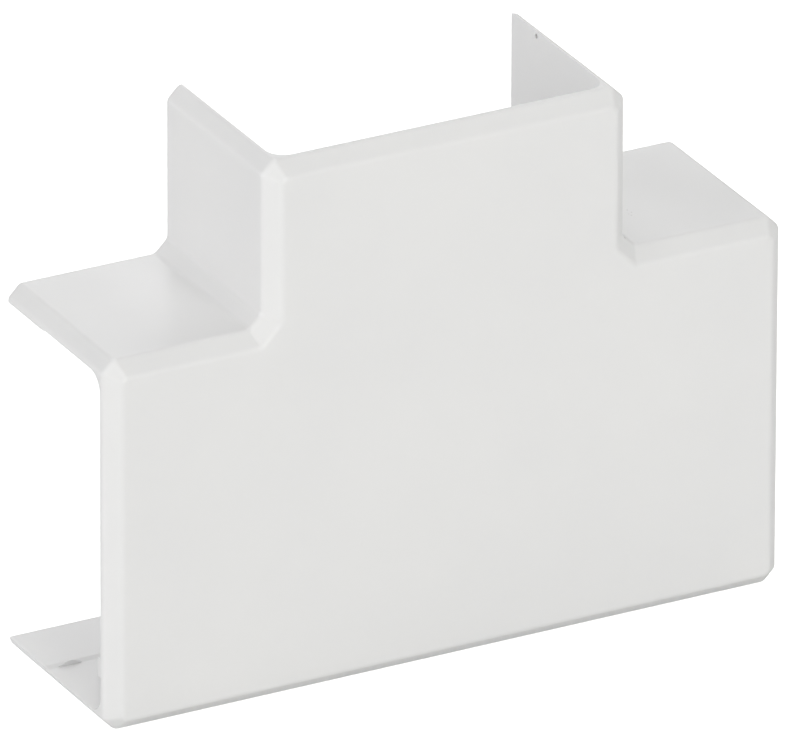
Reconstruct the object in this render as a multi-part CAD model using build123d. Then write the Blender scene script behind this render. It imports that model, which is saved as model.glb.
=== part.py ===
from build123d import *
from math import sqrt
import os

# Tee cover for mini trunking, moulded in one piece in white plastic.
# X runs along the straight trunking, Y from the front towards the wall, Z up the branch.
# The origin is in the middle of the underside.

# Trunking that the cover joins, and the room left round it
trunking_width = 35.0
trunking_depth = 20.0
side_clearance = 0.2
front_clearance = 0.1
rim_gap = 0.6  # the rim stops this far short of the wall behind

# Thicknesses
side_wall = 1.6
front_plate = 1.9

# How far each arm reaches past the crossing
run_arm = 16.9
branch_arm = 17.0

# Bevels and rounding outside
front_bevel_inset = 1.45
front_bevel_depth = 1.55
end_bevel = 1.3
shoulder_bevel = 1.3
edge_radius = 0.8

# Inside: rounding between the front plate and the walls, and bevel that opens the rim
root_radius = 1.9
mouth_bevel = 0.3

# Raised land along the inside of the run's walls, which guides the trunking
land_height = 0.15
land_width = 8.3  # from the rim forwards
land_slope = 0.6  # the land rises over this length at its front edge

# Snap nib at the front edge of the land, near each end of the run
nib_length = 2.6
nib_height = 0.45
nib_from_end = 2.5

# Stop rib that the end of the trunking meets
stop_from_end = 3.7
stop_thickness = 1.2
stop_height = 2.0
stop_reach = 7.8  # from the front plate towards the wall

# Small round pit left by the mould near the end of each branch wall
pit_diameter = 0.5
pit_depth = 0.6
pit_from_end = 0.55
pit_from_rim = 5.3

# Sizes that follow
run_height = trunking_width + 2 * side_clearance + 2 * side_wall
branch_half = run_height / 2
run_half = branch_half + run_arm
total_height = run_height + branch_arm
channel_half = branch_half - side_wall
depth = trunking_depth + front_clearance + front_plate - rim_gap
front_y = -depth / 2
plate_y = front_y + front_plate
rim_y = depth / 2
overrun = 2.0  # how far a cutting shape passes a face that it opens


def upright_plane(y):
    """Drawing plane parallel to the wall at depth y, seen from the front."""
    return Plane(origin=(0, y, 0), x_dir=(1, 0, 0), z_dir=(0, -1, 0))


def symmetric_face(right_half, y):
    """Face whose right half is given from the bottom up, at depth y."""
    left_half = [(-x, z) for x, z in reversed(right_half)]
    return upright_plane(y) * make_face(Polyline(*right_half, *left_half, close=True))


def solid_tee():
    """Full block of the cover: a T with its corners cut off."""
    outline = [
        (run_half - end_bevel, 0),
        (run_half, end_bevel),
        (run_half, run_height - end_bevel),
        (run_half - end_bevel, run_height),
        (branch_half + shoulder_bevel, run_height),
        (branch_half, run_height + shoulder_bevel),
        (branch_half, total_height - end_bevel),
        (branch_half - end_bevel, total_height),
    ]
    block = extrude(symmetric_face(outline, front_y), amount=-depth)
    front = block.faces().sort_by(Axis.Y)[0]
    return chamfer(front.edges(), front_bevel_inset, front_bevel_depth, reference=front)


def outer_block():
    """The block with every outside edge slightly rounded."""
    block = solid_tee()
    return fillet(block.edges(), edge_radius)


def channel_face(y, widening):
    """Outline of the hollow at depth y, along the run and out of the branch, widened all round."""
    past_end = run_half + overrun
    past_top = total_height + overrun
    corner = shoulder_bevel + widening * (sqrt(2) - 1)
    half = channel_half + widening
    low = side_wall - widening
    high = run_height - side_wall + widening
    corner_x = channel_half + corner
    corner_z = run_height - side_wall + corner
    outline = [(past_end, low), (past_end, high), (corner_x, high), (half, corner_z), (half, past_top)]
    return symmetric_face(outline, y)


def channels():
    """Hollow for the trunking, with its corners rounded at the front plate."""
    hollow = extrude(channel_face(plate_y, 0), amount=-(depth - front_plate + overrun))
    roots = hollow.edges().group_by(Axis.Y)[0]
    open_ends = [e for e in roots if abs(e.center().X) > run_half or e.center().Z > total_height]
    return fillet([e for e in roots if e not in open_ends], root_radius)


def flared_mouth():
    """Cutting shape that bevels the inner edge of the rim, and the land with it."""
    length = land_height + mouth_bevel + overrun
    narrow = channel_face(rim_y + overrun - length, -land_height)
    return extrude(narrow, amount=-length, taper=-45)


def nib():
    """Snap nib sunk halfway into a level surface: flat and steep to the front, rounded to the back."""
    arch = ThreePointArc((-nib_length / 2, 0), (0, nib_height), (nib_length / 2, 0))
    chord = Line((nib_length / 2, 0), (-nib_length / 2, 0))
    front_face = upright_plane(0) * make_face(arch + chord)
    return revolve(front_face, axis=Axis((0, 0, 0), (-1, 0, 0)), revolution_arc=180)


def land(start_x, end_x):
    """Raised land along the inside of the underside wall, with a sloped front edge."""
    front = rim_y - land_width
    top = side_wall + land_height
    sunk = side_wall / 2
    outline = [(front, sunk), (front, side_wall), (front + land_slope, top), (rim_y, top), (rim_y, sunk)]
    section = Plane.YZ.offset(start_x) * make_face(Polyline(*outline, close=True))
    return extrude(section, amount=end_x - start_x)


def stop_rib():
    """Rib from the front plate along the underside wall, on the right arm."""
    sunk = side_wall / 2
    low_x = run_half - stop_from_end - stop_thickness
    low = (low_x, plate_y - sunk, side_wall - sunk)
    size = (stop_thickness, stop_reach + sunk, stop_height + sunk)
    return Pos(*low) * Box(*size, align=(Align.MIN, Align.MIN, Align.MIN))


def inner_details():
    """Lands, nibs and stops: the facing walls of the run match, and so do its two arms."""
    arm_land = land(channel_half + shoulder_bevel, run_half)
    run_nib = Pos(run_half - nib_from_end, rim_y - land_width, side_wall) * nib()
    below = [arm_land, run_nib, stop_rib()]
    above = [mirror(detail, Plane.XY.offset(run_height / 2)) for detail in below]
    right_side = below + above
    left_side = [mirror(detail, Plane.YZ) for detail in right_side]
    middle_land = land(-channel_half - shoulder_bevel, channel_half + shoulder_bevel)
    return right_side + left_side + [middle_land]


def pits():
    """Cutting shape for the pits in the two branch walls."""
    across = 2 * (channel_half + pit_depth)
    middle = Pos(0, rim_y - pit_from_rim, total_height - pit_from_end)
    return middle * Rot(0, 90, 0) * Cylinder(pit_diameter / 2, across)


def tee_cover():
    """The whole moulding."""
    block = outer_block()
    cover = block - channels()
    for detail in inner_details():
        cover += detail & block
    return cover - flared_mouth() - pits()


cover = tee_cover()
os.makedirs("parts", exist_ok=True)
export_step(cover, "parts/tee_cover.step")
print("outer size", cover.bounding_box().size, "volume", cover.volume, "solids", len(cover.solids()))
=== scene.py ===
import bpy
from math import cos, radians, sin
from mathutils import Matrix, Vector

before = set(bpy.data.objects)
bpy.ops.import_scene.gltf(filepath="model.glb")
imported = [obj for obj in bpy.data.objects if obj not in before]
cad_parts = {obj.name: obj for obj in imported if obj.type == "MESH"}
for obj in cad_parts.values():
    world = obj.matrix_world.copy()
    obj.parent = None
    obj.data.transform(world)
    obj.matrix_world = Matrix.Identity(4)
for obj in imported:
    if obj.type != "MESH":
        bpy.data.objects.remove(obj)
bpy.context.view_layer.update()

# Tee cover: a single thin-walled moulding in rigid white plastic, open at the back and at its three ends.
# It comes out of a satin-finished steel mould, so its faces are smooth with a very fine grain,
# and it is held only by snapping over the trunking.
warm_white = (0.870, 0.868, 0.868, 1)
cool_white = (0.854, 0.853, 0.856, 1)
satin_roughness = 0.33
plastic_scales = (55, 140, 5200)  # drift, finish and grain, in features per metre
plastic_grain_height = 0.00002
plastic_refraction = 1.5
glow_share = 0.2  # light that enters the plastic and comes out nearby
glow_reach = 0.0006
glow_tint = (1.0, 0.98, 0.96)

# Any uneven surface here: the ranges that its noise seldom leaves, how far the roughness swings
# to each side of its middle value, and how strongly the grain shows
drift_range = (0.35, 0.65)
finish_range = (0.3, 0.7)
roughness_swing = 0.05
grain_strength = 0.1

# Specks of dust by the right shoulder: the middle of each, and its radius
dust_grey = (0.50, 0.50, 0.48, 1)
dust_cover = 0.6  # how much of the white a speck hides
specks = [
    ((0.01953, -0.00918, 0.03962), 0.00017),
    ((0.02371, -0.00190, 0.03860), 0.00010),
    ((0.02382, -0.00254, 0.03860), 0.00009),
    ((0.02341, -0.00276, 0.03860), 0.00008),
    ((0.02348, -0.00313, 0.03860), 0.00009),
]


def uneven_surface():
    """Shader group: slow drift between two tones, unevenness of the finish, and fine grain."""
    group = bpy.data.node_groups.new("uneven surface", "ShaderNodeTree")
    sockets = [
        ("Place", "INPUT", "NodeSocketVector"),
        ("First Tone", "INPUT", "NodeSocketColor"),
        ("Second Tone", "INPUT", "NodeSocketColor"),
        ("Drift Scale", "INPUT", "NodeSocketFloat"),
        ("Finish Scale", "INPUT", "NodeSocketFloat"),
        ("Grain Scale", "INPUT", "NodeSocketFloat"),
        ("Tone", "OUTPUT", "NodeSocketColor"),
        ("Finish", "OUTPUT", "NodeSocketFloat"),
        ("Grain", "OUTPUT", "NodeSocketFloat"),
    ]
    for name, way, kind in sockets:
        group.interface.new_socket(name, in_out=way, socket_type=kind)
    entry = group.nodes.new("NodeGroupInput")
    result = group.nodes.new("NodeGroupOutput")
    textures = {}
    for name, detail in (("Drift", 3), ("Finish", 4), ("Grain", 2)):
        texture = group.nodes.new("ShaderNodeTexNoise")
        texture.name = name
        texture.inputs["Detail"].default_value = detail
        group.links.new(entry.outputs["Place"], texture.inputs["Vector"])
        group.links.new(entry.outputs[name + " Scale"], texture.inputs["Scale"])
        textures[name] = texture.outputs["Fac"]
    stretch = group.nodes.new("ShaderNodeMapRange")
    stretch.inputs["From Min"].default_value = drift_range[0]
    stretch.inputs["From Max"].default_value = drift_range[1]
    group.links.new(textures["Drift"], stretch.inputs["Value"])
    tone = group.nodes.new("ShaderNodeMix")
    tone.data_type = "RGBA"
    group.links.new(stretch.outputs["Result"], tone.inputs["Factor"])
    group.links.new(entry.outputs["First Tone"], tone.inputs["A"])
    group.links.new(entry.outputs["Second Tone"], tone.inputs["B"])
    group.links.new(tone.outputs["Result"], result.inputs["Tone"])
    group.links.new(textures["Finish"], result.inputs["Finish"])
    group.links.new(textures["Grain"], result.inputs["Grain"])
    return group


uneven = uneven_surface()


def surface_material(name, first_tone, second_tone, scales):
    """New material with the uneven surface in it; gives the material, its shader and the group's node."""
    material = bpy.data.materials.new(name)
    material.use_nodes = True
    tree = material.node_tree
    place = tree.nodes.new("ShaderNodeTexCoord")
    surface = tree.nodes.new("ShaderNodeGroup")
    surface.node_tree = uneven
    surface.inputs["First Tone"].default_value = first_tone
    surface.inputs["Second Tone"].default_value = second_tone
    for socket, scale in zip(("Drift Scale", "Finish Scale", "Grain Scale"), scales):
        surface.inputs[socket].default_value = scale
    tree.links.new(place.outputs["Object"], surface.inputs["Place"])
    return material, tree.nodes["Principled BSDF"], surface


def finish_and_grain(material, shader, surface, roughness, grain_height):
    """Turns the group's finish into roughness around a middle value, and its grain into relief."""
    tree = material.node_tree
    finish = tree.nodes.new("ShaderNodeMapRange")
    finish.inputs["From Min"].default_value = finish_range[0]
    finish.inputs["From Max"].default_value = finish_range[1]
    finish.inputs["To Min"].default_value = roughness - roughness_swing
    finish.inputs["To Max"].default_value = roughness + roughness_swing
    tree.links.new(surface.outputs["Finish"], finish.inputs["Value"])
    tree.links.new(finish.outputs["Result"], shader.inputs["Roughness"])
    relief = tree.nodes.new("ShaderNodeBump")
    relief.inputs["Strength"].default_value = grain_strength
    relief.inputs["Distance"].default_value = grain_height
    tree.links.new(surface.outputs["Grain"], relief.inputs["Height"])
    tree.links.new(relief.outputs["Normal"], shader.inputs["Normal"])


def with_specks(material, surface):
    """Colour of the surface with the specks of dust on it, each fading out from half its radius."""
    tree = material.node_tree
    place = tree.nodes.new("ShaderNodeTexCoord")
    colour = surface.outputs["Tone"]
    for middle, radius in specks:
        away = tree.nodes.new("ShaderNodeVectorMath")
        away.operation = "DISTANCE"
        away.inputs[1].default_value = middle
        tree.links.new(place.outputs["Object"], away.inputs[0])
        hidden = tree.nodes.new("ShaderNodeMapRange")
        hidden.inputs["From Min"].default_value = radius / 2
        hidden.inputs["From Max"].default_value = radius
        hidden.inputs["To Min"].default_value = dust_cover
        hidden.inputs["To Max"].default_value = 0
        tree.links.new(away.outputs["Value"], hidden.inputs["Value"])
        dusty = tree.nodes.new("ShaderNodeMix")
        dusty.data_type = "RGBA"
        dusty.inputs["B"].default_value = dust_grey
        tree.links.new(hidden.outputs["Result"], dusty.inputs["Factor"])
        tree.links.new(colour, dusty.inputs["A"])
        colour = dusty.outputs["Result"]
    return colour


plastic, plastic_shader, plastic_surface = surface_material(
    "satin white plastic", warm_white, cool_white, plastic_scales
)
plastic_shader.inputs["IOR"].default_value = plastic_refraction
plastic_shader.inputs["Subsurface Weight"].default_value = glow_share
plastic_shader.inputs["Subsurface Radius"].default_value = glow_tint
plastic_shader.inputs["Subsurface Scale"].default_value = glow_reach
finish_and_grain(plastic, plastic_shader, plastic_surface, satin_roughness, plastic_grain_height)
plastic.node_tree.links.new(with_specks(plastic, plastic_surface), plastic_shader.inputs["Base Color"])
for material_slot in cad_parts["tee_cover"].material_slots:
    material_slot.material = plastic

# Floor: a wide sheet of matt white paper, lit so that it photographs as plain white.
# Only the camera sees the extra light in it, so it adds no glow to the cover.
paper_width = 6.0
paper_white = (0.805, 0.805, 0.805, 1)
paper_shade = (0.795, 0.795, 0.795, 1)
paper_roughness = 0.9
paper_shine = 0.1
paper_scales = (6, 20, 900)
paper_grain_height = 0.00005
paper_lift = 0.9
bpy.ops.mesh.primitive_plane_add(size=paper_width)
floor = bpy.context.object
floor.name = "floor"
paper, paper_shader, paper_surface = surface_material("white paper", paper_white, paper_shade, paper_scales)
paper_shader.inputs["Specular IOR Level"].default_value = paper_shine
paper_shader.inputs["Emission Color"].default_value = (1, 1, 1, 1)
finish_and_grain(paper, paper_shader, paper_surface, paper_roughness, paper_grain_height)
paper.node_tree.links.new(paper_surface.outputs["Tone"], paper_shader.inputs["Base Color"])
seen = paper.node_tree.nodes.new("ShaderNodeLightPath")
lift = paper.node_tree.nodes.new("ShaderNodeMath")
lift.operation = "MULTIPLY"
lift.inputs[1].default_value = paper_lift
paper.node_tree.links.new(seen.outputs["Is Camera Ray"], lift.inputs[0])
paper.node_tree.links.new(lift.outputs["Value"], paper_shader.inputs["Emission Strength"])
floor.data.materials.append(paper)

# Studio: large soft lights all round, strongest low at the front, and faint light from everywhere.
# The one behind on the right shows as a soft gleam on the shoulders, cut off on the left by the branch.
room_light = 0.165
light_width = 0.9
light_distance = 1.4
aim = Vector((0, 0, 0.02))  # the lights face this point, a little below the middle of the cover
neutral = (1, 1, 1)
faintly_warm = (1, 1, 0.975)

# Name, bearing from the front and height in degrees (left is negative), power in watts, tint
soft_lights = [
    ("low_back_left_softbox", -120, 12, 3.3, neutral),
    ("low_left_softbox", -90, 12, 5.5, neutral),
    ("left_softbox", -90, 40, 1.0, neutral),
    ("front_left_softbox", -45, 40, 1.3, faintly_warm),
    ("low_front_softbox", 0, 12, 8.6, faintly_warm),
    ("front_softbox", 0, 40, 2.85, faintly_warm),
    ("right_softbox", 90, 40, 2.6, faintly_warm),
    ("high_back_softbox", 180, 68, 3.85, neutral),
    ("back_right_softbox", 150, 26, 3.25, neutral),
]


def direction(bearing, height):
    """Unit vector towards a bearing from the front and a height, both in radians."""
    return Vector((sin(bearing) * cos(height), -cos(bearing) * cos(height), sin(height)))


world = bpy.data.worlds.new("studio")
bpy.context.scene.world = world
world.use_nodes = True
world.node_tree.nodes["Background"].inputs["Color"].default_value = (1, 1, 1, 1)
world.node_tree.nodes["Background"].inputs["Strength"].default_value = room_light
for name, bearing, height, power, tint in soft_lights:
    way = direction(radians(bearing), radians(height))
    light_data = bpy.data.lights.new(name, "AREA")
    light_data.shape = "SQUARE"
    light_data.size = light_width
    light_data.energy = power
    light_data.color = tint
    light = bpy.data.objects.new(name, light_data)
    light.location = way * light_distance + aim
    light.rotation_euler = way.to_track_quat("Z", "Y").to_euler()
    bpy.context.collection.objects.link(light)
bpy.context.scene.view_settings.view_transform = "Standard"

# Camera: a long lens about two metres away, from the left and a little above, as the photograph was taken.
eye = Vector((-0.873457, -1.647187, 0.900024))
view_bearing = radians(-27.9445)
view_height = radians(25.1219)
view_tilt = radians(0.1835)
lens_length, film_width = 976.5, 36  # millimetres
nearest, farthest = 0.1, 200  # metres that the camera sees between
camera_data = bpy.data.cameras.new("camera")
camera_data.lens = lens_length
camera_data.sensor_width = film_width
camera_data.clip_start = nearest
camera_data.clip_end = farthest
camera = bpy.data.objects.new("camera", camera_data)
backward = direction(view_bearing, view_height)
level = Vector((cos(view_bearing), sin(view_bearing), 0))
upright = backward.cross(level)
right = level * cos(view_tilt) + upright * sin(view_tilt)
up = upright * cos(view_tilt) - level * sin(view_tilt)
camera.matrix_world = Matrix.Translation(eye) @ Matrix((right, up, backward)).transposed().to_4x4()
bpy.context.collection.objects.link(camera)
bpy.context.scene.camera = camera
